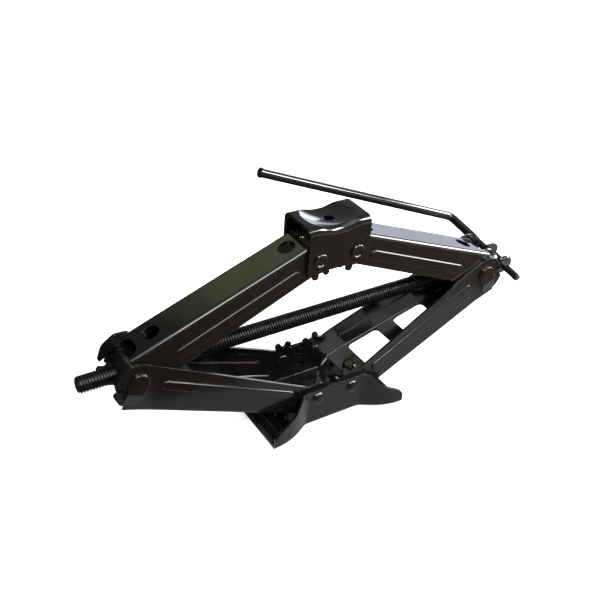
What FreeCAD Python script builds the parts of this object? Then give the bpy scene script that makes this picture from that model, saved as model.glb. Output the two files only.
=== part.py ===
import FreeCAD, Part
import math
import os

Vector = FreeCAD.Vector

# Scissor jack. X runs along the lead screw, Y across the jack, Z up.
# The origin is the centre of the base's underside. All lengths are millimetres.

# Linkage: four arms of one length between a pair of base pivots, a pair of
# saddle pivots and the two trunnions.
arm_length = 171.5
arm_angle = 22.8
pivot_spacing = 36.0
base_pivot_height = 28.0

# Sheet thicknesses and the gaps between nested walls
arm_sheet = 2.5
base_sheet = 3.0
saddle_sheet = 3.0
side_gap = 0.4
pin_fit = 0.05
seat_gap = 0.2

# Modelling values: closeness of two edges, how far a cutting shape passes a
# face, and how much of half a width the corners of a round end take up
tolerance = 1e-6
cut_past = 1.0
full_round = 0.98
slot_round = 0.9

# Gear teeth on the pivot ends of the arms, one sector on each side wall
gear_teeth = 10
pressure_angle = 25.0
tooth_addendum = 1.7
tooth_dedendum = 3.4
tooth_backlash = 0.6
upper_first_tooth = 81.2
upper_tooth_count = 4
lower_first_tooth = 52.0
lower_tooth_count = 5

# Upper arm: straight channel, web on top
upper_half_width = 16.6
upper_web_rise = 15.0
upper_web_rise_end = 20.6
upper_wall_drop = 12.3
upper_wall_drop_end = 13.4
upper_web_start = 4.0
upper_web_setback = 4.0
upper_end_radius = 17.6
upper_end_step = 5.0
upper_pivot_step = 9.0
upper_web_step = 10.0
upper_bead_start = 18.5
upper_bead_setback = 33.5
upper_bead_width = 9.4
upper_bead_level = -1.2
upper_bead_rise = 1.2
web_slot_depth = 14.0
web_slot_half_width = 11.5
web_slot_radius = 9.0
web_hole_radius = 7.4
web_hole_near_pivot = 16.0
web_hole_near_pivot_depth = 1.4
web_hole_setback = 28.5
web_hole_near_trunnion_depth = 4.0

# Claw and open mouth on one wall of each upper arm, from the trunnion's axis
claw_back = 19.0
claw_back_height = 10.0
claw_shoulder = 15.0
claw_shoulder_radius = 3.0
claw_crest_back = 5.0
claw_crest_height = 25.6
claw_crest_radius = 8.0
claw_brow = 8.0
claw_brow_height = 22.2
claw_brow_radius = 9.0
claw_tip = 16.2
claw_tip_height = 12.6
claw_tip_radius = 2.2
claw_lip = 13.0
claw_lip_height = 8.6
claw_lip_radius = 1.6
claw_root_back = 10.0
claw_root_height = 4.0
mouth_throat = 3.6
mouth_roof_height = 13.4
mouth_roof_radius = 1.2
mouth_reach = 34.0
mouth_half_gap = 6.0

# Lower arm: channel that widens towards the base, web underneath
lower_base_half_width = 30.2
lower_web_drop = 19.5
lower_web_drop_end = 26.0
lower_wall_rise = 8.4
lower_wall_rise_end = 16.6
lower_web_start = 8.0
lower_web_reach = 4.5
lower_end_radius = 17.4
lower_end_step = 12.0
lower_pivot_step = 8.0
lower_web_step = 11.0
taper_start = 22.0
taper_setback = 16.0
taper_bend_radius = 80.0
lower_bead_start = 25.5
lower_bead_setback = 20.0
lower_bead_width = 8.4
lower_slot_depth = 10.0
lower_slot_radius = 5.0
lower_slot_mouth = 3.0
lower_slot_mouth_radius = 3.0
window_starts = (30.5, 82.0)
window_length = 34.0
window_margin = 1.6
window_corner_radius = 5.0
round_window_setback = 45.5
round_window_radius = 7.2
boss_position = 17.0
boss_radius = 7.0
boss_height = 6.0

# Notch and finger at the trunnion end of each lower arm, from the trunnion's axis
finger_root_back = 4.0
finger_root_drop = 20.0
finger_heel_drop = 21.5
finger_bend = 10.0
finger_bend_radius = 3.5
finger_tip = 17.0
finger_tip_drop = 13.4
finger_tip_radius = 2.6
finger_top = 15.0
finger_top_drop = 9.0
finger_top_radius = 1.5
notch_width = 4.2
notch_drop = 7.6
notch_throat = 9.5
notch_reach = 40.0
notch_splay = 2.0
open_throat = 12.4
open_top = 30.0
open_brow = 6.0
open_brow_height = 15.5
open_brow_radius = 3.0
open_floor_height = 4.0
open_floor_radius = 6.0

# Pressed details shared by the arms
bend_radius = 3.8
bead_height = 1.4
bead_edge_radius = 1.2

# Base: channel with a narrow waist and flared feet
base_half_length = 68.0
base_waist_half_length = 28.5
base_waist_bend_radius = 9.0
base_flare_knee = 50.0
base_knee_half_width = 46.2
base_knee_radius = 60.0
base_foot_half_width = 47.6
base_wall_height = 37.5
base_crown_half_length = 35.5
base_crown_radius = 9.0
base_shoulder_position = 45.5
base_shoulder_height = 25.0
base_shoulder_radius = 10.0
base_foot_height = 13.5
base_foot_radius = 8.0
base_bend_radius = 4.2
base_ridge_position = 55.0
base_ridge_width = 5.0
base_ridge_height = 1.6
base_ridge_radius = 1.5
base_dimple_position = 43.0
base_dimple_offset = 15.0
base_dimple_radius = 6.0
base_dimple_depth = 1.6

# Saddle: inverted channel with a dished top
saddle_half_length = 29.5
saddle_top_rise = 30.2
saddle_wall_drop = 10.5
saddle_bend_radius = 7.0
saddle_dish_depth = 2.8
saddle_bowl_radius = 15.5
saddle_bowl_depth = 1.9
saddle_dish_half_length = 21.0
saddle_hole_radius = 4.7

# Pivot rivets, one through each wall
pin_radius = 4.0
dome_radius = 6.5
dome_height = 3.5
peened_head_radius = 6.6
peened_head_height = 1.5
peen_recess_radius = 4.6
peen_recess_depth = 0.8
inner_head_radius = 6.0
inner_head_height = 1.8
head_chamfer = 0.6

# Trunnions and the pockets that hold their ends
trunnion_radius = 13.0
trunnion_flat = 12.5
trunnion_chamfer = 1.0
trunnion_stub_radius = 6.5
pocket_depth = 2.5
pocket_skirt = 20.0
pocket_taper = 2.0
pocket_corner_radius = 3.0
pocket_rim_radius = 1.2

# Lead screw, thrust bearing and yoke
screw_radius = 7.0
screw_overhang = 42.0
screw_chamfer = 1.6
shank_radius = 6.0
collar_radius = 11.0
collar_length = 6.0
collar_pin_radius = 1.5
collar_pin_setback = 0.5
race_radius = 12.0
race_thickness = 2.2
turning_race_thickness = 3.4
ball_radius = 1.95
ball_clearance = 0.06
ball_count = 8
ball_circle_radius = 9.3
cage_thickness = 1.6
yoke_web = 3.8
yoke_half_width = 13.0
yoke_prong = 3.6
yoke_eye_distance = 30.3
yoke_eye_radius = 10.4
yoke_bend_radius = 3.0
yoke_corner_radius = 2.0
spigot_radius = 5.0
yoke_roll = 9.4

# Crank handle: a bent rod with a thinner end through the yoke
rod_radius = 4.3
rod_end_radius = 3.5
rod_tip = 33.0
rod_step = 30.0
rod_bend = 71.5
rod_bend_radius = 6.0
rod_end_rounding = 1.2
rod_upset_radius = 4.8
rod_upset_length = 3.0
handle_length = 223.0
handle_rise = 17.96
handle_lean = 12.48

# Places and widths that follow from the sizes above
half_spacing = pivot_spacing / 2
angle = math.radians(arm_angle)
trunnion_x = half_spacing + arm_length * math.cos(angle)
trunnion_z = base_pivot_height + arm_length * math.sin(angle)
saddle_pivot_z = base_pivot_height + 2 * arm_length * math.sin(angle)
upper_inner = upper_half_width - arm_sheet
lower_trunnion_half_width = upper_half_width + side_gap + arm_sheet
lower_trunnion_inner = lower_trunnion_half_width - arm_sheet
taper_end = arm_length - taper_setback
base_inner = lower_base_half_width + side_gap
base_half_width = base_inner + base_sheet
saddle_inner = upper_half_width + side_gap
saddle_half_width = saddle_inner + saddle_sheet
stub_half_length = lower_trunnion_inner + pocket_depth - seat_gap
channel_reach = 30.0
channel_height = 60.0
across = 120.0

along_x = Vector(1, 0, 0)
along_y = Vector(0, 1, 0)
along_z = Vector(0, 0, 1)
origin = Vector(0, 0, 0)


def side_point(x, z):
    return Vector(x, 0, z)


def plan_point(x, y):
    return Vector(x, y, 0)


def outline(corners, place):
    """Closed wire through (a, b, radius) corners, each rounded by its radius."""
    points = [place(a, b) for a, b, radius in corners]
    count = len(points)
    starts = []
    ends = []
    middles = []
    for i, (a, b, radius) in enumerate(corners):
        point = points[i]
        back = (points[i - 1] - point).normalize()
        ahead = (points[(i + 1) % count] - point).normalize()
        half = back.getAngle(ahead) / 2
        if radius == 0:
            starts.append(point)
            ends.append(point)
            middles.append(None)
            continue
        tangent = radius / math.tan(half)
        inward = (back + ahead).normalize()
        starts.append(point + back * tangent)
        ends.append(point + ahead * tangent)
        middles.append(point + inward * (radius / math.sin(half) - radius))
    edges = []
    for i in range(count):
        if middles[i] is not None:
            edges.append(Part.Arc(starts[i], middles[i], ends[i]).toShape())
        after = starts[(i + 1) % count]
        if ends[i].distanceToPoint(after) > tolerance:
            edges.append(Part.LineSegment(ends[i], after).toShape())
    return Part.Wire(edges)


def side_slab(corners, y_from, y_to):
    """Side outline in X and Z, as a slab from one Y to another."""
    face = Part.Face(outline(corners, side_point))
    face.translate(Vector(0, y_from, 0))
    return face.extrude(Vector(0, y_to - y_from, 0))


def plan_slab(corners, z_from, z_to):
    """Plan outline in X and Y, as a slab from one Z to another."""
    face = Part.Face(outline(corners, plan_point))
    face.translate(Vector(0, 0, z_from))
    return face.extrude(Vector(0, 0, z_to - z_from))


def cross_cylinder(radius, x, z, y_from, y_to):
    return Part.makeCylinder(radius, y_to - y_from, Vector(x, y_from, z), along_y)


def tilted(shape, degrees):
    """Turned about the Y axis through the origin; a positive angle lowers +X."""
    turned = shape.copy()
    turned.rotate(origin, along_y, degrees)
    return turned


def moved(shape, x, y, z):
    shifted = shape.copy()
    shifted.translate(Vector(x, y, z))
    return shifted


def turned_about(shape, degrees, axis):
    turned = shape.copy()
    turned.rotate(origin, axis, degrees)
    return turned


def left_twin(shape):
    """The same piece on the left side: half a turn about the vertical axis."""
    return turned_about(shape, 180, along_z)


def long_edges(solid, level):
    """Edges of the bottom face at a level that run along the channel."""
    found = []
    for edge in solid.Edges:
        box = edge.BoundBox
        flat = abs(box.ZMin - level) < tolerance and abs(box.ZMax - level) < tolerance
        if flat and abs(edge.CenterOfMass.y) > arm_sheet:
            found.append(edge)
    return found


def channel_core(half_plan, inset):
    """Filled channel, web down on Z = inset, its walls moved in by the inset."""
    far = [(x, y - inset, radius) for x, y, radius in half_plan]
    near = [(x, -(y - inset), radius) for x, y, radius in reversed(half_plan)]
    solid = plan_slab(far + near, inset, channel_height)
    return solid.makeFillet(bend_radius - inset, long_edges(solid, inset))


def seated_channel(half_plan, inset, rise, rise_end, web_up):
    """Channel core set to an arm's pivot line, its web above or below that line."""
    core = channel_core(half_plan, inset)
    slope = math.degrees(math.asin((rise_end - rise) / arm_length))
    if web_up:
        return moved(tilted(turned_about(core, 180, along_x), -slope), 0, 0, rise)
    return moved(tilted(core, slope), 0, 0, -rise)


def rounded_crest(bead):
    """Bead with the outline of its outer face rounded."""
    middle = abs(bead.CenterOfMass.y)
    outer = [face for face in bead.Faces if abs(face.CenterOfMass.y) > middle]
    crest = max(outer, key=lambda face: face.Area)
    long_edge = max(crest.Edges, key=lambda edge: edge.Length)
    return bead.makeFillet(bead_edge_radius, [long_edge])


def beaded_channel(channel, bead):
    """Channel shell whose walls are pressed outwards where `bead` lies."""
    shell = channel(0).cut(channel(arm_sheet)).cut(bead)
    raised = channel(-bead_height).cut(channel(arm_sheet - bead_height)).common(bead)
    return shell.multiFuse([rounded_crest(side) for side in raised.Solids])


def bar_outline(x_from, z_from, x_to, z_to, width):
    """Straight bar with round ends between two points of a side view."""
    radius = width / 2
    slope = math.atan2(z_to - z_from, x_to - x_from)
    length = math.hypot(x_to - x_from, z_to - z_from)
    rounding = radius * full_round
    corners = []
    for a, b in ((0, -radius), (length, -radius), (length, radius), (0, radius)):
        x = x_from + a * math.cos(slope) - b * math.sin(slope)
        z = z_from + a * math.sin(slope) + b * math.cos(slope)
        corners.append((x, z, rounding))
    return corners


def gear_tooth(centre_angle, y_from, y_to):
    """One involute tooth of the pivot gear, standing on its root circle."""
    pitch_radius = half_spacing
    base_radius = pitch_radius * math.cos(math.radians(pressure_angle))
    tip_radius = pitch_radius + tooth_addendum
    foot_radius = pitch_radius - tooth_dedendum - tooth_addendum
    thickness = math.pi * pitch_radius / gear_teeth - tooth_backlash / 2

    def involute(radius):
        turn = math.acos(min(1.0, base_radius / radius))
        return math.tan(turn) - turn

    def half_angle(radius):
        return thickness / (2 * pitch_radius) + involute(pitch_radius) - involute(radius)

    def at(radius, turn):
        direction = math.radians(centre_angle) + turn
        return Vector(radius * math.cos(direction), y_from, radius * math.sin(direction))

    steps = 4
    rise = (tip_radius - base_radius) / steps
    flank = [base_radius + rise * i for i in range(steps + 1)]
    right_curve = Part.BSplineCurve()
    right_curve.interpolate([at(r, -half_angle(r)) for r in flank])
    left_curve = Part.BSplineCurve()
    left_curve.interpolate([at(r, half_angle(r)) for r in reversed(flank)])
    width = half_angle(base_radius)
    tip = half_angle(tip_radius)
    edges = [
        Part.LineSegment(at(foot_radius, -width), at(base_radius, -width)).toShape(),
        right_curve.toShape(),
        Part.Arc(at(tip_radius, -tip), at(tip_radius, 0), at(tip_radius, tip)).toShape(),
        left_curve.toShape(),
        Part.LineSegment(at(base_radius, width), at(foot_radius, width)).toShape(),
        Part.LineSegment(at(foot_radius, width), at(foot_radius, -width)).toShape(),
    ]
    return Part.Face(Part.Wire(edges)).extrude(Vector(0, y_to - y_from, 0))


def gear_sector(y_from, y_to, first_tooth, tooth_count, direction):
    """Root disc and teeth; a positive direction puts the teeth above the arm."""
    root_radius = half_spacing - tooth_dedendum
    sector = cross_cylinder(root_radius, 0, 0, y_from, y_to)
    for i in range(tooth_count):
        turn = first_tooth + i * 360.0 / gear_teeth
        sector = sector.fuse(gear_tooth(direction * turn, y_from, y_to))
    return sector


def both_walls(band, inner, first_tooth, tooth_count, direction, end_radius):
    """Outlines of the near and far walls; their teeth are half a pitch apart."""
    half_pitch = 180.0 / gear_teeth
    near = gear_sector(-across / 2, -inner, first_tooth, tooth_count, direction)
    far_tooth = first_tooth + direction * half_pitch
    far = gear_sector(inner, across / 2, far_tooth, tooth_count, direction)
    return side_slab(band, -across / 2, across / 2).multiFuse([
        near,
        far,
        cross_cylinder(end_radius, arm_length, 0, -across / 2, across / 2),
    ])


def pivot_holes(trunnion_hole_half_length):
    """Hole for the pivot pin through both walls, and the one for the trunnion."""
    pin_hole = cross_cylinder(pin_radius + pin_fit, 0, 0, -across / 2, across / 2)
    reach = trunnion_hole_half_length
    stub_hole = cross_cylinder(trunnion_stub_radius + pin_fit, arm_length, 0, -reach, reach)
    return pin_hole.fuse(stub_hole)


def upper_channel(inset):
    half_plan = [
        (-channel_reach, upper_half_width, 0),
        (arm_length + channel_reach, upper_half_width, 0),
    ]
    return seated_channel(half_plan, inset, upper_web_rise, upper_web_rise_end, True)


def one_wall(corners, side):
    """Side outline as a plate in the upper arm's near (-1) or far (+1) wall."""
    if side > 0:
        return side_slab(corners, upper_inner, upper_half_width)
    return side_slab(corners, -upper_half_width, -upper_inner)


def claw(side):
    """Curved ear that stands past the trunnion on one wall of the upper arm."""
    x = arm_length
    return one_wall([
        (x - claw_back, claw_back_height, 0),
        (x - claw_shoulder, upper_web_rise_end, claw_shoulder_radius),
        (x - claw_crest_back, claw_crest_height, claw_crest_radius),
        (x + claw_brow, claw_brow_height, claw_brow_radius),
        (x + claw_tip, claw_tip_height, claw_tip_radius),
        (x + claw_lip, claw_lip_height, claw_lip_radius),
        (x, claw_root_height, 0),
        (x - claw_root_back, claw_root_height, 0),
    ], side)


def claw_mouth(side):
    """Opening below the ear, through to the trunnion's hole."""
    x = arm_length
    return one_wall([
        (x + mouth_throat, mouth_roof_height, mouth_roof_radius),
        (x + mouth_reach, mouth_half_gap, 0),
        (x + mouth_reach, -mouth_half_gap, 0),
        (x + mouth_half_gap, -claw_root_height, 0),
        (x + claw_root_height, claw_root_height, 0),
    ], side)


def web_hole(position, depth, level):
    """Collar drawn down from the upper web, and the hole through it."""
    foot = level - arm_sheet - depth
    collar = Part.makeCylinder(web_hole_radius + arm_sheet / 2, depth + arm_sheet / 2,
                               Vector(position, 0, foot))
    hole = Part.makeCylinder(web_hole_radius, depth + 2 * arm_sheet,
                             Vector(position, 0, foot - cut_past))
    return collar, hole


def make_upper_arm(claw_side):
    end = arm_length
    band = [
        (upper_web_start, channel_height, 0),
        (end - upper_web_setback, channel_height, 0),
        (end - upper_web_setback, upper_end_step, 0),
        (end, -upper_wall_drop_end, 0),
        (0, -upper_wall_drop, 0),
        (0, upper_pivot_step, 0),
        (upper_web_start, upper_web_step, 0),
    ]
    bead = side_slab(bar_outline(
        upper_bead_start, upper_bead_level - upper_bead_rise / 2,
        end - upper_bead_setback, upper_bead_level + upper_bead_rise / 2, upper_bead_width,
    ), -across / 2, across / 2)
    arm = beaded_channel(upper_channel, bead)
    arm = arm.common(both_walls(
        band, upper_inner, upper_first_tooth, upper_tooth_count, -1, upper_end_radius))
    arm = arm.fuse(claw(claw_side)).cut(claw_mouth(claw_side))
    slot = plan_slab([
        (end - web_slot_depth, -web_slot_half_width, web_slot_radius),
        (end + channel_reach, -web_slot_half_width, 0),
        (end + channel_reach, web_slot_half_width, 0),
        (end - web_slot_depth, web_slot_half_width, web_slot_radius),
    ], 0, channel_height)
    arm = arm.cut(slot)
    slope = (upper_web_rise_end - upper_web_rise) / arm_length
    for position, depth in (
        (web_hole_near_pivot, web_hole_near_pivot_depth),
        (end - web_hole_setback, web_hole_near_trunnion_depth),
    ):
        collar, hole = web_hole(position, depth, upper_web_rise + slope * position)
        arm = arm.fuse(collar).cut(hole)
    return arm.cut(pivot_holes(across / 2)).removeSplitter()


def lower_channel(inset):
    half_plan = [
        (-channel_reach, lower_base_half_width, 0),
        (taper_start, lower_base_half_width, taper_bend_radius),
        (taper_end, lower_trunnion_half_width, taper_bend_radius),
        (arm_length + channel_reach, lower_trunnion_half_width, 0),
    ]
    return seated_channel(half_plan, inset, lower_web_drop, lower_web_drop_end, False)


def lower_half_width_at(position):
    """Outer half-width of the tapering stretch."""
    share = (position - taper_start) / (taper_end - taper_start)
    return lower_base_half_width + share * (lower_trunnion_half_width - lower_base_half_width)


def lower_finger():
    """Finger below the notch at the trunnion end of both walls."""
    x = arm_length
    return side_slab([
        (x - finger_root_back, -finger_root_drop, 0),
        (x + lower_web_reach, -finger_heel_drop, 0),
        (x + finger_bend, -finger_root_drop, finger_bend_radius),
        (x + finger_tip, -finger_tip_drop, finger_tip_radius),
        (x + finger_top, -finger_top_drop, finger_top_radius),
        (x - finger_root_back, -finger_top_drop, 0),
    ], -across / 2, across / 2)


def end_notch(open_side):
    """Notch above the finger; on the open side it takes the round end away too."""
    x = arm_length
    far = x + notch_reach
    half = notch_width / 2
    floor = -notch_drop - half
    roof = -notch_drop + half
    rounding = half * slot_round
    slot = side_slab([
        (x + notch_throat, floor, rounding),
        (far, floor - notch_splay, 0),
        (far, roof + notch_splay, 0),
        (x + notch_throat, roof, rounding),
    ], -across / 2, across / 2)
    mouth = side_slab([
        (x + open_throat, floor, rounding),
        (far, floor - notch_splay, 0),
        (far, open_top, 0),
        (x + open_brow, open_brow_height, open_brow_radius),
        (x + open_throat, open_floor_height, open_floor_radius),
    ], min(0, open_side * across / 2), max(0, open_side * across / 2))
    return slot.fuse(mouth)


def pocket_ramp(radius):
    """Space below the pocket's face, which runs down into the wall."""
    face_y = lower_trunnion_half_width + pocket_depth
    fall = (pocket_skirt - radius) / pocket_depth
    foot = -pocket_skirt - cut_past
    start = arm_length - across / 2
    corners = [
        Vector(start, face_y + cut_past, cut_past * fall - radius),
        Vector(start, lower_trunnion_half_width, -pocket_skirt),
        Vector(start, lower_trunnion_half_width, foot),
        Vector(start, face_y + cut_past, foot),
    ]
    return Part.Face(Part.makePolygon(corners + corners[:1])).extrude(along_x * across)


def trunnion_pocket(side):
    """D-shaped emboss that closes over the end of the trunnion."""
    x = arm_length
    radius = trunnion_stub_radius + arm_sheet
    emboss = side_slab([
        (x - radius, radius, radius * slot_round),
        (x + radius, radius, radius * slot_round),
        (x + radius - pocket_taper, -pocket_skirt, pocket_corner_radius),
        (x - radius + pocket_taper, -pocket_skirt, pocket_corner_radius),
    ], lower_trunnion_inner, lower_trunnion_half_width + pocket_depth)
    top = emboss.BoundBox.YMax
    rim = [e for e in emboss.Edges if abs(e.BoundBox.YMin - top) < tolerance]
    emboss = emboss.makeFillet(pocket_rim_radius, rim).cut(pocket_ramp(radius))
    return emboss if side > 0 else emboss.mirror(origin, along_y)


def lower_window(start):
    """Rounded window in the web that narrows with the arm."""
    finish = start + window_length
    inner_margin = arm_sheet + window_margin
    wide = lower_half_width_at(start) - inner_margin
    narrow = lower_half_width_at(finish) - inner_margin
    radius = window_corner_radius
    return plan_slab([
        (start, -wide, radius),
        (finish, -narrow, radius),
        (finish, narrow, radius),
        (start, wide, radius),
    ], -channel_height, -lower_web_drop / 2)


def drawn_boss():
    """Cup drawn up from the lower web beside its pivot end, hollow below."""
    slope = (lower_web_drop_end - lower_web_drop) / arm_length
    web_level = -lower_web_drop - slope * boss_position
    boss = Part.makeCylinder(boss_radius, boss_height + arm_sheet / 2,
                             Vector(boss_position, 0, web_level + arm_sheet / 2))
    crown = [e for e in boss.Edges if e.BoundBox.ZMin > web_level + boss_height]
    boss = boss.makeFillet(boss_radius / 2, crown)
    hollow = Part.makeCylinder(boss_radius - arm_sheet, boss_height,
                               Vector(boss_position, 0, web_level - cut_past))
    return boss, hollow


def make_lower_arm(open_side):
    end = arm_length
    band = [
        (lower_web_start, -channel_height, 0),
        (end + lower_web_reach, -channel_height, 0),
        (end + lower_web_reach, -lower_end_step, 0),
        (end, lower_wall_rise_end, 0),
        (0, lower_wall_rise, 0),
        (0, -lower_pivot_step, 0),
        (lower_web_start, -lower_web_step, 0),
    ]
    bead = side_slab(bar_outline(
        lower_bead_start, 0, end - lower_bead_setback, 0, lower_bead_width,
    ), -across / 2, across / 2)
    arm = beaded_channel(lower_channel, bead)
    keep = both_walls(band, lower_base_half_width - arm_sheet,
                      lower_first_tooth, lower_tooth_count, 1, lower_end_radius)
    keep = keep.fuse(lower_finger()).cut(end_notch(open_side))
    arm = arm.common(keep)
    mouth = lower_trunnion_inner - side_gap
    slot = plan_slab([
        (end - lower_slot_depth, -mouth / 2, lower_slot_radius),
        (end - lower_slot_mouth, -mouth, lower_slot_mouth_radius),
        (end + channel_reach, -mouth, 0),
        (end + channel_reach, mouth, 0),
        (end - lower_slot_mouth, mouth, lower_slot_mouth_radius),
        (end - lower_slot_depth, mouth / 2, lower_slot_radius),
    ], -channel_height, -trunnion_radius)
    arm = arm.cut(slot)
    for start in window_starts:
        arm = arm.cut(lower_window(start))
    arm = arm.cut(Part.makeCylinder(round_window_radius, channel_height,
                                    Vector(end - round_window_setback, 0, -channel_height)))
    boss, hollow = drawn_boss()
    arm = arm.fuse(boss).cut(hollow)
    for side in (-1, 1):
        arm = arm.fuse(trunnion_pocket(side))
    pocket_reach = lower_trunnion_inner + pocket_depth
    return arm.cut(pivot_holes(pocket_reach)).removeSplitter()


def base_plan(inset):
    """Plan of the base: straight waist, flare and nearly straight feet."""
    end = base_half_length + (channel_reach if inset else 0)
    foot_slope = (base_foot_half_width - base_knee_half_width) / (base_half_length - base_flare_knee)
    foot = base_knee_half_width + foot_slope * (end - base_flare_knee)
    flare = math.atan2(base_knee_half_width - base_half_width, base_flare_knee - base_waist_half_length)
    knee_run = base_half_length - base_flare_knee - base_sheet
    knee_limit = knee_run / math.tan((flare - math.atan(foot_slope)) / 2)
    right = [
        (base_waist_half_length, base_half_width - inset, base_waist_bend_radius),
        (base_flare_knee, base_knee_half_width - inset, min(base_knee_radius, knee_limit)),
        (end, foot - inset, 0),
    ]
    far = [(-x, y, radius) for x, y, radius in reversed(right)] + right
    near = [(x, -y, radius) for x, y, radius in reversed(far)]
    return far + near


def base_core(inset):
    solid = plan_slab(base_plan(inset), inset, base_wall_height + inset)
    return solid.makeFillet(base_bend_radius - inset, long_edges(solid, inset))


def base_side_cut():
    """Everything above the walls: level over the waist, falling to the feet."""
    right = [
        (base_crown_half_length, base_wall_height, base_crown_radius),
        (base_shoulder_position, base_shoulder_height, base_shoulder_radius),
        (base_half_length, base_foot_height, base_foot_radius),
        (base_half_length, base_sheet, 0),
        (base_half_length + channel_reach, base_sheet, 0),
        (base_half_length + channel_reach, channel_height, 0),
    ]
    left = [(-x, z, radius) for x, z, radius in reversed(right)]
    return left + right


def make_base():
    base = base_core(0).cut(base_core(base_sheet))
    base = base.cut(side_slab(base_side_cut(), -across / 2, across / 2))
    for side in (-1, 1):
        ridge = side_slab([
            (side * base_ridge_position - base_ridge_width, base_sheet, 0),
            (side * base_ridge_position - base_ridge_width / 2,
             base_sheet + base_ridge_height, base_ridge_radius),
            (side * base_ridge_position + base_ridge_width / 2,
             base_sheet + base_ridge_height, base_ridge_radius),
            (side * base_ridge_position + base_ridge_width, base_sheet, 0),
        ], -base_half_width, base_half_width)
        base = base.fuse(ridge)
        for offset in (-base_dimple_offset, base_dimple_offset):
            base = base.cut(Part.makeCylinder(
                base_dimple_radius, base_sheet,
                Vector(side * base_dimple_position, offset, base_sheet - base_dimple_depth)))
        base = base.cut(cross_cylinder(
            pin_radius, side * half_spacing, base_pivot_height, -across / 2, across / 2))
    return base.removeSplitter()


def saddle_profile(inset):
    """Side view of the saddle: level ends and a shallow valley between them."""
    top = saddle_top_rise - inset
    valley = top - saddle_dish_depth
    reach = saddle_half_length + (channel_reach if inset else 0)
    bottom = -saddle_wall_drop - (channel_reach if inset else 0)
    middle = saddle_dish_half_length / 2
    start = Vector(-saddle_dish_half_length, 0, top)
    finish = Vector(saddle_dish_half_length, 0, top)
    valley_curve = Part.BezierCurve()
    valley_curve.setPoles([
        start,
        Vector(-middle, 0, top),
        Vector(-middle, 0, valley),
        Vector(0, 0, valley),
    ])
    rising_curve = Part.BezierCurve()
    rising_curve.setPoles([
        Vector(0, 0, valley),
        Vector(middle, 0, valley),
        Vector(middle, 0, top),
        finish,
    ])
    corners = [
        finish,
        Vector(reach, 0, top),
        Vector(reach, 0, bottom),
        Vector(-reach, 0, bottom),
        Vector(-reach, 0, top),
        start,
    ]
    edges = [valley_curve.toShape(), rising_curve.toShape()]
    for a, b in zip(corners, corners[1:]):
        edges.append(Part.LineSegment(a, b).toShape())
    return Part.Face(Part.Wire(edges))


def saddle_core(inset):
    half_width = saddle_half_width - inset
    face = saddle_profile(inset)
    face.translate(Vector(0, -half_width, 0))
    solid = face.extrude(Vector(0, 2 * half_width, 0))
    floor = saddle_top_rise - inset - saddle_dish_depth - cut_past
    rims = []
    for edge in solid.Edges:
        box = edge.BoundBox
        if box.ZMin > floor and abs(abs(edge.CenterOfMass.y) - half_width) < tolerance:
            rims.append(edge)
    return solid.makeFillet(saddle_bend_radius - inset, rims)


def make_saddle():
    saddle = saddle_core(0).cut(saddle_core(saddle_sheet))
    bowl_sphere = (saddle_bowl_radius ** 2 + saddle_bowl_depth ** 2) / (2 * saddle_bowl_depth)
    valley = saddle_top_rise - saddle_dish_depth
    centre = Vector(0, 0, valley - saddle_bowl_depth + bowl_sphere)
    underside = Part.makeSphere(bowl_sphere + saddle_sheet, centre).common(
        Part.makeCylinder(saddle_bowl_radius, saddle_top_rise, origin))
    bowl = underside.common(Part.makeBox(
        across, across, valley - saddle_sheet / 2, Vector(-across / 2, -across / 2, 0)))
    saddle = saddle.fuse(bowl).cut(Part.makeSphere(bowl_sphere, centre))
    saddle = saddle.cut(Part.makeCylinder(saddle_hole_radius, channel_height, origin))
    for side in (-1, 1):
        saddle = saddle.cut(cross_cylinder(
            pin_radius, side * half_spacing, 0, -across / 2, across / 2))
    return saddle


def rivet(outer_wall, grip, head):
    """Rivet along Y: shank through two nested walls, its inner head upset inside."""
    inner = outer_wall - grip - seat_gap
    shank = cross_cylinder(pin_radius, 0, 0, inner, outer_wall)
    button = cross_cylinder(inner_head_radius, 0, 0, inner - inner_head_height, inner)
    rim = [e for e in button.Edges if e.BoundBox.YMax < inner - inner_head_height + tolerance]
    button = button.makeChamfer(head_chamfer, rim)
    return shank.fuse(button).fuse(head).removeSplitter()


def make_base_rivet():
    """Rivet with a domed head on the base's outer wall."""
    sphere_radius = (dome_radius ** 2 + dome_height ** 2) / (2 * dome_height)
    centre = base_half_width + dome_height - sphere_radius
    dome = Part.makeSphere(sphere_radius, Vector(0, centre, 0))
    dome.rotate(Vector(0, centre, 0), along_x, -90)
    head = dome.common(cross_cylinder(
        sphere_radius, 0, 0, base_half_width, base_half_width + sphere_radius))
    return rivet(base_half_width, base_sheet + side_gap + arm_sheet, head)


def make_saddle_rivet():
    """Rivet with a flat head on the saddle's outer wall, its middle peened in."""
    top = saddle_half_width + peened_head_height
    head = cross_cylinder(peened_head_radius, 0, 0, saddle_half_width, top)
    rim = [e for e in head.Edges if e.BoundBox.YMin > top - tolerance]
    head = head.makeChamfer(head_chamfer, rim)
    recess = Part.makeCone(peen_recess_radius, peen_recess_radius - peen_recess_depth,
                           peen_recess_depth, Vector(0, top, 0), -along_y)
    return rivet(saddle_half_width, saddle_sheet + side_gap + arm_sheet, head.cut(recess))


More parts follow.
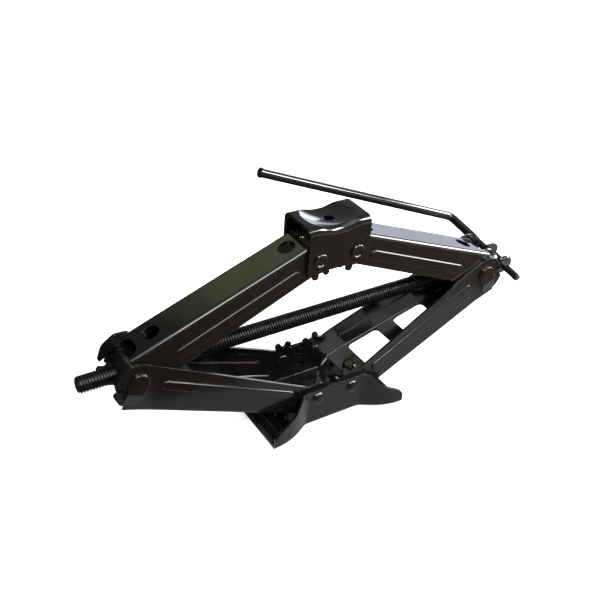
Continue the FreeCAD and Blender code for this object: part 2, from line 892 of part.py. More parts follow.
def make_trunnion(bore_radius):
    """Barrel across the arms, flattened where the screw enters, with end stubs."""
    half_body = upper_inner - side_gap
    body = cross_cylinder(trunnion_radius, 0, 0, -half_body, half_body)
    rims = [e for e in body.Edges if e.BoundBox.YLength < tolerance]
    body = body.makeChamfer(trunnion_chamfer, rims)
    flats = Part.makeBox(2 * trunnion_flat, across, across,
                         Vector(-trunnion_flat, -across / 2, -across / 2))
    stubs = cross_cylinder(trunnion_stub_radius, 0, 0, -stub_half_length, stub_half_length)
    bore = Part.makeCylinder(bore_radius, across, Vector(-across / 2, 0, 0), along_x)
    return body.common(flats).fuse(stubs).cut(bore).removeSplitter()


def ring(x_from, x_to, outer_radius, inner_radius):
    """Flat ring about the screw axis."""
    disc = Part.makeCylinder(outer_radius, x_to - x_from, Vector(x_from, 0, 0), along_x)
    hole = Part.makeCylinder(inner_radius, x_to - x_from, Vector(x_from, 0, 0), along_x)
    return disc.cut(hole)


# Stations along the screw, measured outwards from the right trunnion's axis
race_end = trunnion_flat + race_thickness
ball_station = race_end + ball_clearance + ball_radius
turning_race_start = ball_station + ball_radius + ball_clearance
yoke_start = turning_race_start + turning_race_thickness
collar_end = -trunnion_flat - seat_gap
collar_start = collar_end - collar_length


def make_screw():
    """Threaded bar at its crest radius, with a plain shank at the driven end."""
    tip = -2 * trunnion_x - screw_overhang
    thread_end = collar_start - side_gap
    bar = Part.makeCylinder(screw_radius, thread_end - tip, Vector(tip, 0, 0), along_x)
    ends = [e for e in bar.Edges if e.BoundBox.XLength < tolerance]
    bar = bar.makeChamfer(screw_chamfer, ends)
    shank = Part.makeCylinder(shank_radius, yoke_start - thread_end + screw_chamfer,
                              Vector(thread_end - screw_chamfer, 0, 0), along_x)
    spigot = Part.makeCylinder(spigot_radius, yoke_web, Vector(yoke_start, 0, 0), along_x)
    screw = bar.fuse(shank).fuse(spigot)
    return screw.cut(collar_pin_hole()).removeSplitter()


def collar_pin_hole():
    middle = (collar_start + collar_end) / 2
    return Part.makeCylinder(collar_pin_radius, 2 * collar_radius,
                             Vector(middle, 0, -collar_radius), along_z)


def make_collar():
    return ring(collar_start, collar_end, collar_radius, shank_radius).cut(collar_pin_hole())


def make_collar_pin():
    middle = (collar_start + collar_end) / 2
    length = 2 * (collar_radius - collar_pin_setback)
    return Part.makeCylinder(collar_pin_radius, length,
                             Vector(middle, 0, -length / 2), along_z)


def ball_places():
    for i in range(ball_count):
        turn = 2 * math.pi * i / ball_count
        yield Vector(ball_station, ball_circle_radius * math.cos(turn),
                     ball_circle_radius * math.sin(turn))


def make_cage():
    """Thin ring that keeps the balls apart."""
    start = ball_station - cage_thickness / 2
    cage = ring(start, start + cage_thickness, race_radius - side_gap, shank_radius + side_gap)
    for place in ball_places():
        cage = cage.cut(Part.makeCylinder(ball_radius + ball_clearance, 2 * cage_thickness,
                                          Vector(start - cage_thickness / 2, place.y, place.z),
                                          along_x))
    return cage


def make_balls():
    return Part.makeCompound([Part.makeSphere(ball_radius, place) for place in ball_places()])


def make_yoke():
    """Fork on the end of the screw that takes the crank's thin end."""
    eye = yoke_eye_distance
    radius = yoke_eye_radius
    body = side_slab([
        (yoke_start, -radius, yoke_corner_radius),
        (eye + radius, -radius, radius * full_round),
        (eye + radius, radius, radius * full_round),
        (yoke_start, radius, yoke_corner_radius),
    ], -yoke_half_width, yoke_half_width)
    bends = []
    for edge in body.Edges:
        box = edge.BoundBox
        at_web = box.XMax < yoke_start + tolerance
        if at_web and abs(abs(edge.CenterOfMass.y) - yoke_half_width) < tolerance:
            bends.append(edge)
    body = body.makeFillet(yoke_bend_radius, bends)
    inner = yoke_half_width - yoke_prong
    gap = Part.makeBox(across, 2 * inner, across,
                       Vector(yoke_start + yoke_web, -inner, -across / 2))
    rod_hole = cross_cylinder(rod_end_radius + pin_fit, eye, 0, -across / 2, across / 2)
    spigot_hole = Part.makeCylinder(spigot_radius, yoke_web, Vector(yoke_start, 0, 0), along_x)
    return body.cut(gap).cut(rod_hole).cut(spigot_hole)


def make_handle():
    """Rod from the thin end through the yoke, round one bend to the long leg."""
    bend = Vector(yoke_eye_distance, rod_bend, 0)
    rise = math.radians(handle_rise)
    lean = math.radians(handle_lean)
    leg = Vector(-math.cos(rise) * math.cos(lean), math.sin(lean), math.sin(rise) * math.cos(lean))
    end = bend + leg * handle_length
    back = -along_y
    half = back.getAngle(leg) / 2
    tangent = rod_bend_radius / math.tan(half)
    arc_start = bend + back * tangent
    arc_end = bend + leg * tangent
    inward = (back + leg).normalize()
    arc_middle = bend + inward * (rod_bend_radius / math.sin(half) - rod_bend_radius)
    step = Vector(bend.x, rod_step, 0)
    path = Part.Wire([
        Part.LineSegment(step, arc_start).toShape(),
        Part.Arc(arc_start, arc_middle, arc_end).toShape(),
        Part.LineSegment(arc_end, end).toShape(),
    ])
    section = Part.Wire([Part.makeCircle(rod_radius, step, along_y)])
    thick = path.makePipeShell([section], True, False)
    upset = Part.makeCylinder(rod_upset_radius, rod_upset_length, end, leg)
    upset = upset.makeFillet(rod_end_rounding, upset.Edges[0])
    thin = cross_cylinder(rod_end_radius, bend.x, 0, -rod_tip, rod_step + side_gap)
    tip_edge = [e for e in thin.Edges if e.BoundBox.YMax < -rod_tip + tolerance]
    thin = thin.makeFillet(rod_end_rounding, tip_edge)
    return thick.fuse(thin).fuse(upset).removeSplitter()


def rivets_at(rivet_shape, name, z):
    """The same rivet in the front and rear walls, on the left and right pivots."""
    front = turned_about(rivet_shape, 180, along_z)
    placed = {}
    for side, x in (("left", -half_spacing), ("right", half_spacing)):
        placed[name + "_front_" + side] = moved(front, x, 0, z)
        placed[name + "_rear_" + side] = moved(rivet_shape, x, 0, z)
    return placed


def on_screw(shape):
    return moved(shape, trunnion_x, 0, trunnion_z)


def on_yoke(shape):
    return on_screw(turned_about(shape, yoke_roll, along_x))


def lower_arm_right(open_side):
    return moved(tilted(make_lower_arm(open_side), -arm_angle), half_spacing, 0, base_pivot_height)


def upper_arm_right(claw_side):
    return moved(tilted(make_upper_arm(claw_side), arm_angle), half_spacing, 0, saddle_pivot_z)


def build():
    nodes = {
        "base_plate": make_base(),
        "lower_arm_left": left_twin(lower_arm_right(-1)),
        "lower_arm_right": lower_arm_right(1),
        "upper_arm_left": left_twin(upper_arm_right(-1)),
        "upper_arm_right": upper_arm_right(1),
        "saddle_cap": moved(make_saddle(), 0, 0, saddle_pivot_z),
        "trunnion_nut": moved(make_trunnion(screw_radius + pin_fit), -trunnion_x, 0, trunnion_z),
        "trunnion_block": on_screw(make_trunnion(shank_radius + pin_fit)),
        "lead_screw": on_screw(make_screw()),
        "screw_collar": on_screw(make_collar()),
        "collar_pin": on_screw(make_collar_pin()),
        "fixed_race": on_screw(ring(trunnion_flat, race_end, race_radius, shank_radius + pin_fit)),
        "ball_cage": on_screw(make_cage()),
        "thrust_balls": on_screw(make_balls()),
        "turning_race": on_screw(ring(turning_race_start, yoke_start, race_radius, shank_radius)),
        "screw_yoke": on_yoke(make_yoke()),
        "crank_handle": on_yoke(make_handle()),
    }
    nodes.update(rivets_at(make_base_rivet(), "base_rivet", base_pivot_height))
    nodes.update(rivets_at(make_saddle_rivet(), "saddle_rivet", saddle_pivot_z))
    return nodes


os.makedirs("parts", exist_ok=True)
for node, shape in build().items():
    shape.exportStep("parts/" + node + ".step")
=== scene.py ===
import math

import bpy
from mathutils import Matrix, Vector


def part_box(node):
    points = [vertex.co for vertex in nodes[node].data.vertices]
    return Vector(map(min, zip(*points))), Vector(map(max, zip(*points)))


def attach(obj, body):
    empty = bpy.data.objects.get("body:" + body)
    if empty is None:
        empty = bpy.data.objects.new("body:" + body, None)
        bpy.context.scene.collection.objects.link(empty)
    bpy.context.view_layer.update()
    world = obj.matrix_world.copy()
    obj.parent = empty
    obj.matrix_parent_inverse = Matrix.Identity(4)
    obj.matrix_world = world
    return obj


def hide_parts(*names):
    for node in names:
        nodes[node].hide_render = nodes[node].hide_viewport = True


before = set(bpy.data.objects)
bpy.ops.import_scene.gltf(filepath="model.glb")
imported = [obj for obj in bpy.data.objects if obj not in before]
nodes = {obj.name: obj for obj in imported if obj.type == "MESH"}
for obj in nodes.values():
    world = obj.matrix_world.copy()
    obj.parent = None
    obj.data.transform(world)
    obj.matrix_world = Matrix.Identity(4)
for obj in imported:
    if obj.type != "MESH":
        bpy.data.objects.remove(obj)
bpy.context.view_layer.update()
mm = 0.001
bevelSamples = 8
bpy.ops.object.select_all(action="DESELECT")
print("frame loaded,", len(nodes), "nodes")


def toLinear(hexText):
    channels = [int(hexText[i:i + 2], 16) / 255 for i in (0, 2, 4)]
    linear = [c / 12.92 if c <= 0.04045 else ((c + 0.055) / 1.055) ** 2.4 for c in channels]
    return (*linear, 1.0)


def addNode(tree, kind, settings=None, sockets=None):
    node = tree.nodes.new(kind)
    for name, value in (settings or {}).items():
        setattr(node, name, value)
    for name, value in (sockets or {}).items():
        if isinstance(value, bpy.types.NodeSocket):
            tree.links.new(value, node.inputs[name])
        else:
            node.inputs[name].default_value = value
    return node


def newMaterial(name):
    material = bpy.data.materials.new(name)
    material.use_nodes = True
    material.node_tree.nodes.clear()
    return material, material.node_tree


def dress(obj, material):
    if not obj.material_slots:
        obj.data.materials.append(material)
    for materialSlot in obj.material_slots:
        materialSlot.material = material


# Black stoving enamel on pressed steel: brown-black and glossy, a little wavy like
# any dipped sheet, with an orange-peel skin and a greyer colour on sharp edges that is partly a
# thinner film and partly a painted edge highlight
pressingEnamel = {
    "colour": "0d0b0a",
    "thinFilmAndHighlightColour": "34302b",
    "patchSize": 26.0,     # mm, patches of duller film
    "patchLow": 0.35,      # noise value of a glossy patch
    "patchHigh": 0.68,     # noise value of a dull patch
    "glossRough": 0.07,
    "dullRough": 0.17,
    "peelSize": 1.8,       # mm, orange peel, drawn coarser than real so that it shows
    "peelDepth": 0.012,    # mm
    "waveSize": 34.0,      # mm, the sheet's own waviness after pressing
    "waveDepth": 0.25,     # mm
    "edgeRound": 0.5,      # mm, softened sheet edges
    "edgeStart": 0.98,     # cosine of the turn where the thinner film and painted edge highlight start
    "edgeFull": 0.80,
    "specular": 0.46,
    "refraction": 1.5,
}
rodEnamel = {
    **pressingEnamel,
    "colour": "120f0d",
    "waveDepth": 0.02,
    "glossRough": 0.08,
    "dullRough": 0.14,
    "edgeRound": 0.6,
    "specular": 0.75,
}
rivetEnamel = {
    **pressingEnamel,
    "colour": "0f0d0c",
    "glossRough": 0.12,
    "dullRough": 0.22,
    "waveDepth": 0.03,
    "edgeRound": 0.5,
}


def stovingEnamel(name, look):
    material, tree = newMaterial(name)
    place = addNode(tree, "ShaderNodeTexCoord").outputs["Object"]
    patch = addNode(tree, "ShaderNodeTexNoise", sockets={
        "Vector": place, "Scale": 1 / (look["patchSize"] * mm), "Detail": 4.0})
    peel = addNode(tree, "ShaderNodeTexNoise", sockets={
        "Vector": place, "Scale": 1 / (look["peelSize"] * mm), "Detail": 2.0})
    wave = addNode(tree, "ShaderNodeTexNoise", sockets={
        "Vector": place, "Scale": 1 / (look["waveSize"] * mm), "Detail": 1.0})
    rounded = addNode(tree, "ShaderNodeBevel", {"samples": bevelSamples}, {
        "Radius": look["edgeRound"] * mm})
    surface = addNode(tree, "ShaderNodeNewGeometry")
    facing = addNode(tree, "ShaderNodeVectorMath", {"operation": "DOT_PRODUCT"}, {
        0: rounded.outputs["Normal"], 1: surface.outputs["Normal"]})
    edge = addNode(tree, "ShaderNodeMapRange", {"interpolation_type": "SMOOTHSTEP"}, {
        "Value": facing.outputs["Value"],
        "From Min": look["edgeStart"], "From Max": look["edgeFull"]})
    # greyer edge colour, in patches: partly a thinner film, partly a painted edge highlight
    edgeFilmAndHighlight = addNode(tree, "ShaderNodeMath", {"operation": "MULTIPLY"}, {
        0: edge.outputs["Result"], 1: patch.outputs[0]})
    colour = addNode(tree, "ShaderNodeMix", {"data_type": "RGBA"}, {
        0: edgeFilmAndHighlight.outputs["Value"], 6: toLinear(look["colour"]), 7: toLinear(look["thinFilmAndHighlightColour"])})
    rough = addNode(tree, "ShaderNodeMapRange", sockets={
        "Value": patch.outputs[0], "From Min": look["patchLow"], "From Max": look["patchHigh"],
        "To Min": look["glossRough"], "To Max": look["dullRough"]})
    wavy = addNode(tree, "ShaderNodeBump", sockets={
        "Height": wave.outputs[0], "Strength": 1.0, "Distance": look["waveDepth"] * mm,
        "Normal": rounded.outputs["Normal"]})
    skin = addNode(tree, "ShaderNodeBump", sockets={
        "Height": peel.outputs[0], "Strength": 1.0, "Distance": look["peelDepth"] * mm,
        "Normal": wavy.outputs["Normal"]})
    shader = addNode(tree, "ShaderNodeBsdfPrincipled", sockets={
        "Base Color": colour.outputs[2], "Roughness": rough.outputs["Result"],
        "IOR": look["refraction"], "Specular IOR Level": look["specular"],
        "Normal": skin.outputs["Normal"]})
    addNode(tree, "ShaderNodeOutputMaterial", sockets={"Surface": shader.outputs["BSDF"]})
    return material


# Blackened, oiled steel: dark grey metal, brighter and yellower where it is rubbed
threadSteel = {
    "colour": "2f2e2d",
    "rubbedColour": "7b7771",
    "patchSize": 5.0,      # mm
    "patchLow": 0.35,      # noise value of a smooth patch
    "patchHigh": 0.68,     # noise value of a dull patch
    "rough": 0.30,
    "dullRough": 0.52,
    "scratchSize": 0.9,    # mm
    "scratchDepth": 0.01,  # mm
    "edgeRound": 0.35,     # mm
    "edgeStart": 0.98,     # cosine of the turn where an edge starts to be rubbed
    "edgeFull": 0.78,
}
# Turned and ground steel with a film of grease: clean grey with fine marks
groundSteel = {
    **threadSteel,
    "colour": "6d6b68",
    "rubbedColour": "b4b0a8",
    "patchSize": 9.0,
    "rough": 0.18,
    "dullRough": 0.34,
    "scratchSize": 0.6,
    "scratchDepth": 0.006,
    "edgeRound": 0.3,
}


def darkSteel(name, look):
    material, tree = newMaterial(name)
    place = addNode(tree, "ShaderNodeTexCoord").outputs["Object"]
    patch = addNode(tree, "ShaderNodeTexNoise", sockets={
        "Vector": place, "Scale": 1 / (look["patchSize"] * mm), "Detail": 5.0})
    scratch = addNode(tree, "ShaderNodeTexNoise", sockets={
        "Vector": place, "Scale": 1 / (look["scratchSize"] * mm), "Detail": 3.0})
    rounded = addNode(tree, "ShaderNodeBevel", {"samples": bevelSamples}, {
        "Radius": look["edgeRound"] * mm})
    surface = addNode(tree, "ShaderNodeNewGeometry")
    facing = addNode(tree, "ShaderNodeVectorMath", {"operation": "DOT_PRODUCT"}, {
        0: rounded.outputs["Normal"], 1: surface.outputs["Normal"]})
    edge = addNode(tree, "ShaderNodeMapRange", {"interpolation_type": "SMOOTHSTEP"}, {
        "Value": facing.outputs["Value"],
        "From Min": look["edgeStart"], "From Max": look["edgeFull"]})
    rubbed = addNode(tree, "ShaderNodeMath", {"operation": "MULTIPLY"}, {
        0: edge.outputs["Result"], 1: patch.outputs[0]})
    colour = addNode(tree, "ShaderNodeMix", {"data_type": "RGBA"}, {
        0: rubbed.outputs["Value"], 6: toLinear(look["colour"]),
        7: toLinear(look["rubbedColour"])})
    rough = addNode(tree, "ShaderNodeMapRange", sockets={
        "Value": patch.outputs[0], "From Min": look["patchLow"], "From Max": look["patchHigh"],
        "To Min": look["rough"], "To Max": look["dullRough"]})
    lines = addNode(tree, "ShaderNodeBump", sockets={
        "Height": scratch.outputs[0], "Strength": 1.0, "Distance": look["scratchDepth"] * mm,
        "Normal": rounded.outputs["Normal"]})
    shader = addNode(tree, "ShaderNodeBsdfPrincipled", sockets={
        "Base Color": colour.outputs[2], "Metallic": 1.0, "Roughness": rough.outputs["Result"],
        "Normal": lines.outputs["Normal"]})
    addNode(tree, "ShaderNodeOutputMaterial", sockets={"Surface": shader.outputs["BSDF"]})
    return material


enamelOnSheet = stovingEnamel("blackStovingEnamel", pressingEnamel)
enamelOnRod = stovingEnamel("blackEnamelOnBar", rodEnamel)
enamelOnRivets = stovingEnamel("blackEnamelOnRivets", rivetEnamel)
steelThread = darkSteel("blackenedThreadSteel", threadSteel)
steelGround = darkSteel("greasedGroundSteel", groundSteel)

finishes = {
    "base_plate": enamelOnSheet,
    "lower_arm_left": enamelOnSheet,
    "lower_arm_right": enamelOnSheet,
    "upper_arm_left": enamelOnSheet,
    "upper_arm_right": enamelOnSheet,
    "saddle_cap": enamelOnSheet,
    "screw_yoke": enamelOnRod,
    "crank_handle": enamelOnRod,
    "lead_screw": steelThread,
    "screw_collar": steelThread,
    "collar_pin": steelGround,
    "fixed_race": steelGround,
    "turning_race": steelGround,
    "ball_cage": steelThread,
    "thrust_balls": steelGround,
}
for nodeName, node in nodes.items():
    dress(node, finishes.get(nodeName, enamelOnRivets))
print("finishes on", len(nodes), "nodes")

# Lead screw, in mm: rolled trapezoidal thread, cut square and chamfered at its free end,
# with a plain shank towards the fork
leadScrew = {
    "pitch": 2.33,         # as measured along the screw in the photo
    "crestRadius": 7.0,
    "rootRadius": 5.8,
    "crestWidth": 0.74,
    "rootWidth": 0.82,
    "steps": 28,           # sides of each turn
    "chamfer": 1.6,
    "threadEnd": 157.0,    # x of the last thread
    "shankRadius": 6.0,
    "shankEnd": 198.16,    # x where the spigot starts
    "spigotRadius": 5.0,
    "mergeGap": 0.01,
    "endFacing": 0.9,      # x of a face's normal, picks the shank's right end
    "smoothAngle": 32.0,   # degrees
}


def activate(obj):
    bpy.ops.object.select_all(action="DESELECT")
    obj.select_set(True)
    bpy.context.view_layer.objects.active = obj


def applyModifier(obj, kind, settings):
    activate(obj)
    modifier = obj.modifiers.new(kind.title(), kind)
    for name, value in settings.items():
        setattr(modifier, name, value)
    bpy.ops.object.modifier_apply(modifier=modifier.name)


def pickFaces(obj, test):
    bpy.ops.object.mode_set(mode="OBJECT")
    for face in obj.data.polygons:
        face.select = test(face)
    bpy.ops.object.mode_set(mode="EDIT")


def roundBar(name, xFrom, xTo, radius, axisHeight, sides):
    bpy.ops.object.select_all(action="DESELECT")
    bpy.ops.mesh.primitive_cylinder_add(
        vertices=sides, radius=radius * mm, depth=(xTo - xFrom) * mm,
        location=((xFrom + xTo) / 2 * mm, 0, axisHeight), rotation=(0, math.pi / 2, 0))
    bar = bpy.context.object
    bar.name = name
    bpy.ops.object.transform_apply(location=True, rotation=True, scale=True)
    return bar


def makeLeadScrew(values):
    low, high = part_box("lead_screw")
    axisHeight = (low.z + high.z) / 2
    tip = low.x / mm
    depth = values["crestRadius"] - values["rootRadius"]
    flank = (values["pitch"] - values["crestWidth"] - values["rootWidth"]) / 2
    start = tip - values["pitch"]
    turns = math.ceil((values["threadEnd"] - start) / values["pitch"]) + 1

    # one tooth's outline, drawn point by point and wound along the axis
    bpy.ops.mesh.primitive_plane_add(size=mm, location=(start * mm, 0, axisHeight))
    thread = bpy.context.object
    thread.name = "leadScrewThread"
    bpy.ops.object.mode_set(mode="EDIT")
    bpy.ops.mesh.select_all(action="SELECT")
    bpy.ops.mesh.merge(type="CENTER")
    bpy.ops.transform.translate(value=(0, 0, values["rootRadius"] * mm))
    outline = ((values["rootWidth"], 0), (flank, depth), (values["crestWidth"], 0), (flank, -depth))
    for along, out in outline:
        bpy.ops.mesh.extrude_region_move(
            TRANSFORM_OT_translate={"value": (along * mm, 0, out * mm)})
    bpy.ops.object.mode_set(mode="OBJECT")
    applyModifier(thread, "SCREW", {
        "axis": "X", "screw_offset": values["pitch"] * mm, "iterations": turns,
        "steps": values["steps"], "render_steps": values["steps"]})
    bpy.ops.object.transform_apply(location=True, rotation=True, scale=True)
    bpy.ops.object.mode_set(mode="EDIT")
    bpy.ops.mesh.select_all(action="SELECT")
    bpy.ops.mesh.remove_doubles(threshold=values["mergeGap"] * mm)
    for place, direction in ((tip, 1), (values["threadEnd"], -1)):
        bpy.ops.mesh.select_all(action="SELECT")
        bpy.ops.mesh.bisect(plane_co=(place * mm, 0, axisHeight), plane_no=(direction, 0, 0),
                            use_fill=True, clear_inner=True)
    bpy.ops.mesh.select_all(action="SELECT")
    bpy.ops.mesh.normals_make_consistent(inside=False)
    bpy.ops.object.mode_set(mode="OBJECT")

    # both ends of the thread run out on a chamfer
    for point in thread.data.vertices:
        inside = min(point.co.x - tip * mm, values["threadEnd"] * mm - point.co.x)
        limit = (values["crestRadius"] - values["chamfer"]) * mm + inside
        out = math.hypot(point.co.y, point.co.z - axisHeight)
        if out > limit:
            point.co.y *= limit / out
            point.co.z = axisHeight + (point.co.z - axisHeight) * limit / out

    # shank, stepped down to the spigot that the fork is peened on
    shank = roundBar("leadScrewShank", values["threadEnd"] - values["chamfer"], values["shankEnd"],
                     values["shankRadius"], axisHeight, 2 * values["steps"])
    bpy.ops.object.mode_set(mode="EDIT")
    bpy.ops.mesh.select_mode(type="FACE")
    pickFaces(shank, lambda face: face.normal.x > values["endFacing"])
    bpy.ops.mesh.inset(thickness=(values["shankRadius"] - values["spigotRadius"]) * mm)
    bpy.ops.mesh.extrude_region_move(
        TRANSFORM_OT_translate={"value": (high.x - values["shankEnd"] * mm, 0, 0)})
    bpy.ops.object.mode_set(mode="OBJECT")
    activate(thread)
    shank.select_set(True)
    bpy.ops.object.join()
    bpy.ops.object.shade_smooth_by_angle(angle=math.radians(values["smoothAngle"]))
    return thread


leadScrewThread = makeLeadScrew(leadScrew)
dress(leadScrewThread, steelThread)
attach(leadScrewThread, "screw")
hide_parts("lead_screw")
print("lead screw cut,", len(leadScrewThread.data.polygons), "faces")

# Pale paper floor, lit by the lamps and lifted to white for the camera. For glossy rays the floor
# is a painted reflection that glows without being lit: pale in front of the jack, brown and dim
# further out, a painted shadow underneath and a painted window reflection bright towards the back
# on the right
floorLook = {
    "size": 60.0,          # m
    "colour": "e6e6e6",
    "lift": 0.62,          # added white beside the jack, so that its shadow stays
    "farLift": 1.0,
    "nearReach": 0.5,      # m, where the paper starts to pale
    "farReach": 1.6,       # m, where the paper is plain white
    # colours of the painted floor reflection, seen only in glossy rays
    "paintedNearReflection": "c4c4ca",
    "paintedFrontReflection": "857c6d",
    "paintedFrontLeftReflection": "4c463e",
    "frontLeft": -0.15,    # m in x, where the painted brown reflection is darkest
    "frontRight": 0.12,
    "nearEdge": -0.10,     # m in y, where the painted floor reflection starts to darken
    "farEdge": -0.122,
    "paintedShadowStart": -0.03,   # m in y, where the painted shadow under the jack starts
    "paintedShadowFull": -0.01,
    "paintedShadowLight": 0.12,
    "paintedWindowColour": "ecefff",
    "paintedWindowLift": 1.55,
    "windowStart": 0.25,   # m in x, where the painted window reflection starts
    "windowEnd": 0.9,
    "drop": 0.2,           # mm
}
bpy.ops.object.select_all(action="DESELECT")
bpy.ops.mesh.primitive_plane_add(size=floorLook["size"], location=(0, 0, -floorLook["drop"] * mm))
floor = bpy.context.object
floor.name = "paperFloor"
paper, paperTree = newMaterial("whitePaperWithPaintedReflection")
floorPlace = addNode(paperTree, "ShaderNodeTexCoord").outputs["Object"]
path = addNode(paperTree, "ShaderNodeLightPath")


def floorRamp(value, start, end, low, high):
    ramp = addNode(paperTree, "ShaderNodeMapRange", {"interpolation_type": "SMOOTHSTEP"}, {
        "Value": value, "From Min": start, "From Max": end, "To Min": low, "To Max": high})
    return ramp.outputs["Result"]


reach = addNode(paperTree, "ShaderNodeVectorMath", {"operation": "LENGTH"}, {0: floorPlace})
whiteness = floorRamp(reach.outputs["Value"], floorLook["nearReach"], floorLook["farReach"],
                      floorLook["lift"], floorLook["farLift"])
matte = addNode(paperTree, "ShaderNodeBsdfDiffuse", sockets={
    "Color": toLinear(floorLook["colour"])})
direct = addNode(paperTree, "ShaderNodeMath", {"operation": "MAXIMUM"}, {
    0: path.outputs["Is Camera Ray"], 1: path.outputs["Is Transmission Ray"]})
cameraLift = addNode(paperTree, "ShaderNodeMath", {"operation": "MULTIPLY"}, {
    0: direct.outputs["Value"], 1: whiteness})
lift = addNode(paperTree, "ShaderNodeEmission", sockets={"Strength": cameraLift.outputs["Value"]})
seen = addNode(paperTree, "ShaderNodeAddShader", sockets={
    0: matte.outputs["BSDF"], 1: lift.outputs["Emission"]})

floorAxes = addNode(paperTree, "ShaderNodeSeparateXYZ", sockets={"Vector": floorPlace})
# painted reflection: for glossy rays the floor glows in these colours instead of being lit
farness = floorRamp(floorAxes.outputs["Y"], floorLook["nearEdge"], floorLook["farEdge"], 0.0, 1.0)
paintedFrontReflection = addNode(paperTree, "ShaderNodeMix", {"data_type": "RGBA"}, {
    0: floorRamp(floorAxes.outputs["X"], floorLook["frontLeft"], floorLook["frontRight"], 0.0, 1.0),
    6: toLinear(floorLook["paintedFrontLeftReflection"]), 7: toLinear(floorLook["paintedFrontReflection"])})
paintedReflectionColour = addNode(paperTree, "ShaderNodeMix", {"data_type": "RGBA"}, {
    0: farness, 6: toLinear(floorLook["paintedNearReflection"]), 7: paintedFrontReflection.outputs[2]})
# painted shadow: the reflected floor darkened under the jack, where real shade falls
paintedShadowUnder = floorRamp(floorAxes.outputs["Y"], floorLook["paintedShadowStart"], floorLook["paintedShadowFull"],
                       1.0, floorLook["paintedShadowLight"])
paintedReflectionGlow = addNode(paperTree, "ShaderNodeEmission", sockets={
    "Color": paintedReflectionColour.outputs[2], "Strength": paintedShadowUnder})
# painted reflection of a window: the floor glows brighter to the right for glossy rays
paintedWindowStrength = floorRamp(floorAxes.outputs["X"], floorLook["windowStart"], floorLook["windowEnd"],
                        0.0, floorLook["paintedWindowLift"])
paintedWindowReflection = addNode(paperTree, "ShaderNodeEmission", sockets={
    "Color": toLinear(floorLook["paintedWindowColour"]), "Strength": paintedWindowStrength})
paintedReflectionShader = addNode(paperTree, "ShaderNodeAddShader", sockets={
    0: paintedReflectionGlow.outputs["Emission"], 1: paintedWindowReflection.outputs["Emission"]})
# glossy rays see the painted reflection, all other rays the lit paper
both = addNode(paperTree, "ShaderNodeMixShader", sockets={
    0: path.outputs["Is Glossy Ray"], 1: seen.outputs["Shader"], 2: paintedReflectionShader.outputs["Shader"]})
addNode(paperTree, "ShaderNodeOutputMaterial", sockets={"Surface": both.outputs["Shader"]})
dress(floor, paper)
print("floor laid")

# Studio room: pale on the right, dim on the left, with blotches of garden green seen through
# a window above and behind, and a low window behind on the right; white where the camera
# looks past the floor. Sides and edges are directions, each fading to its Full value or by its Fade
room = {
    "dim": 0.055,
    "pale": 0.30,
    "dimSide": -0.45,
    "paleSide": 0.25,
    "leafColour": "a4b37a",
    "leafLight": 2.5,
    "leafShade": 0.25,     # share of the light between the blotches
    "leafScale": 22.0,     # blotches per unit of direction
    "leafLow": 0.40,       # noise value between the blotches
    "leafHigh": 0.60,      # noise value in a blotch
    "leafLeft": -0.13,     # x
    "leafLeftFade": 0.04,
    "leafRight": 0.12,     # x
    "leafRightFull": 0.04,
    "leafBack": 0.2,       # y
    "leafBackFull": 0.4,
    "leafFoot": 0.50,      # z
    "leafFootFade": 0.08,
    "glowColour": "dfe6ff",
    "glowLight": 2.4,
    "glowLeft": 0.45,      # x
    "glowLeftFull": 0.6,
    "glowBack": 0.3,       # y
    "glowBackFull": 0.45,
    "glowTop": 0.2,        # z
    "glowTopFade": 0.06,
}
world = bpy.data.worlds.new("studioRoom")
bpy.context.scene.world = world
world.use_nodes = True
worldTree = world.node_tree
worldTree.nodes.clear()
direction = addNode(worldTree, "ShaderNodeTexCoord").outputs["Generated"]
parts = addNode(worldTree, "ShaderNodeSeparateXYZ", sockets={"Vector": direction})
roomLight = addNode(worldTree, "ShaderNodeMapRange", {"interpolation_type": "SMOOTHSTEP"}, {
    "Value": parts.outputs["X"], "From Min": room["dimSide"], "From Max": room["paleSide"],
    "To Min": room["dim"], "To Max": room["pale"]})
blotch = addNode(worldTree, "ShaderNodeTexNoise", sockets={
    "Vector": direction, "Scale": room["leafScale"], "Detail": 3.0})
leaves = addNode(worldTree, "ShaderNodeMapRange", sockets={
    "Value": blotch.outputs[0], "From Min": room["leafLow"], "From Max": room["leafHigh"],
    "To Min": room["leafShade"] * room["leafLight"], "To Max": room["leafLight"]})


def windowShare(light, limits):
    for axis, foot, full in limits:
        edge = addNode(worldTree, "ShaderNodeMapRange", {"interpolation_type": "SMOOTHSTEP"}, {
            "Value": parts.outputs[axis], "From Min": foot, "From Max": full})
        light = addNode(worldTree, "ShaderNodeMath", {"operation": "MULTIPLY"}, {
            0: light, 1: edge.outputs["Result"]}).outputs["Value"]
    return light


leafShare = windowShare(leaves.outputs["Result"], (
    ("X", room["leafLeft"], room["leafLeft"] + room["leafLeftFade"]),
    ("X", room["leafRight"], room["leafRightFull"]),
    ("Y", room["leafBack"], room["leafBackFull"]),
    ("Z", room["leafFoot"], room["leafFoot"] + room["leafFootFade"])))
glowShare = windowShare(room["glowLight"], (
    ("X", room["glowLeft"], room["glowLeftFull"]),
    ("Y", room["glowBack"], room["glowBackFull"]),
    ("Z", room["glowTop"], room["glowTop"] - room["glowTopFade"])))
worldPath = addNode(worldTree, "ShaderNodeLightPath")
strength = addNode(worldTree, "ShaderNodeMix", {"data_type": "FLOAT"}, {
    0: worldPath.outputs["Is Camera Ray"], 2: roomLight.outputs["Result"], 3: 1.0})
wall = addNode(worldTree, "ShaderNodeBackground", sockets={
    "Color": (1, 1, 1, 1), "Strength": strength.outputs[0]})
garden = addNode(worldTree, "ShaderNodeBackground", sockets={
    "Color": toLinear(room["leafColour"]), "Strength": leafShare})
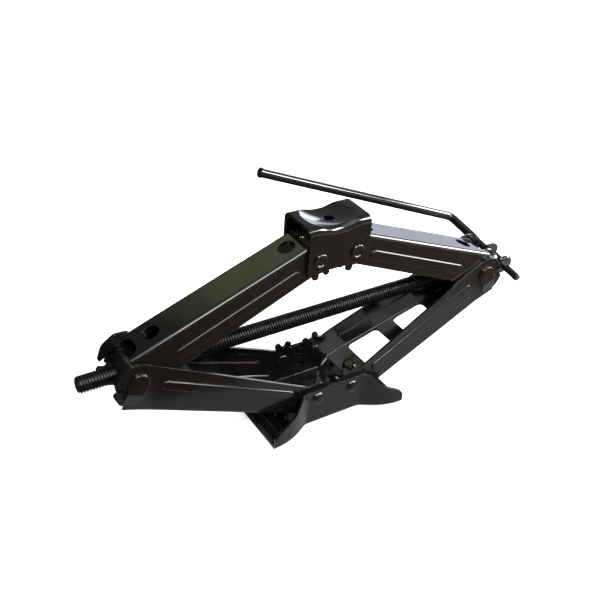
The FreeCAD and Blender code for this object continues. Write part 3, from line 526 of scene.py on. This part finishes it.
glow = addNode(worldTree, "ShaderNodeBackground", sockets={
    "Color": toLinear(room["glowColour"]), "Strength": glowShare})
windows = addNode(worldTree, "ShaderNodeAddShader", sockets={
    0: garden.outputs["Background"], 1: glow.outputs["Background"]})
around = addNode(worldTree, "ShaderNodeAddShader", sockets={
    0: wall.outputs["Background"], 1: windows.outputs["Shader"]})
addNode(worldTree, "ShaderNodeOutputWorld", sockets={"Surface": around.outputs["Shader"]})

# Softboxes, in m and W: leftBox lights the bends and beads of the upper left and lower right
# arms, rightBox those of the other two, frontBox the line along the crank, backBox the
# saddle's valley, and a broad dim one overhead keeps every bend from falling into black
softboxes = {
    "leftBox": {
        "place": (-0.10, -0.85, 1.13), "size": (0.65, 0.4), "power": 15.0, "colour": "ffffff"},
    "frontBox": {
        "place": (0.81, -0.68, 0.95), "size": (0.28, 0.5), "power": 16.0, "colour": "ffffff"},
    "rightBox": {
        "place": (1.27, -0.27, 0.61), "size": (0.7, 0.5), "power": 28.0, "colour": "fffaf2"},
    "backBox": {
        "place": (1.02, 0.94, 0.57), "size": (0.32, 0.34), "power": 2.9, "colour": "e8edff"},
    "overhead": {
        "place": (-0.1, -0.55, 1.6), "size": (1.8, 1.2), "power": 14.0, "colour": "ffffff"},
}
lampTarget = Vector((0.0, 0.0, 0.1))
for lampName, lampLook in softboxes.items():
    lampData = bpy.data.lights.new(lampName, "AREA")
    lampData.shape = "RECTANGLE"
    lampData.size, lampData.size_y = lampLook["size"]
    lampData.energy = lampLook["power"]
    lampData.color = toLinear(lampLook["colour"])[:3]
    lamp = bpy.data.objects.new(lampName, lampData)
    bpy.context.scene.collection.objects.link(lamp)
    lamp.visible_camera = False
    lamp.location = lampLook["place"]
    lamp.rotation_euler = (lampTarget - lamp.location).to_track_quat("-Z", "Y").to_euler()
print("room and lamps set")

# Camera: above the left front corner, with the slight tilt of a hand-held shot
cameraLook = {
    "place": (-356.75, -493.33, 508.87),   # mm
    "ahead": (0.46793, 0.68925, -0.55315),
    "above": (0.24882, 0.49784, 0.83081),
    "lens": 50.785,
    "sensor": 36.0,
}
cameraData = bpy.data.cameras.new("photoCamera")
cameraData.lens = cameraLook["lens"]
cameraData.sensor_width = cameraLook["sensor"]
photoCamera = bpy.data.objects.new("photoCamera", cameraData)
bpy.context.scene.collection.objects.link(photoCamera)
ahead = Vector(cameraLook["ahead"]).normalized()
right = ahead.cross(Vector(cameraLook["above"])).normalized()
above = right.cross(ahead)
turn = Matrix((right, above, -ahead)).transposed().to_4x4()
photoCamera.matrix_world = Matrix.Translation(Vector(cameraLook["place"]) * mm) @ turn
bpy.context.scene.camera = photoCamera
bpy.context.scene.view_settings.view_transform = "Standard"
print("camera set")
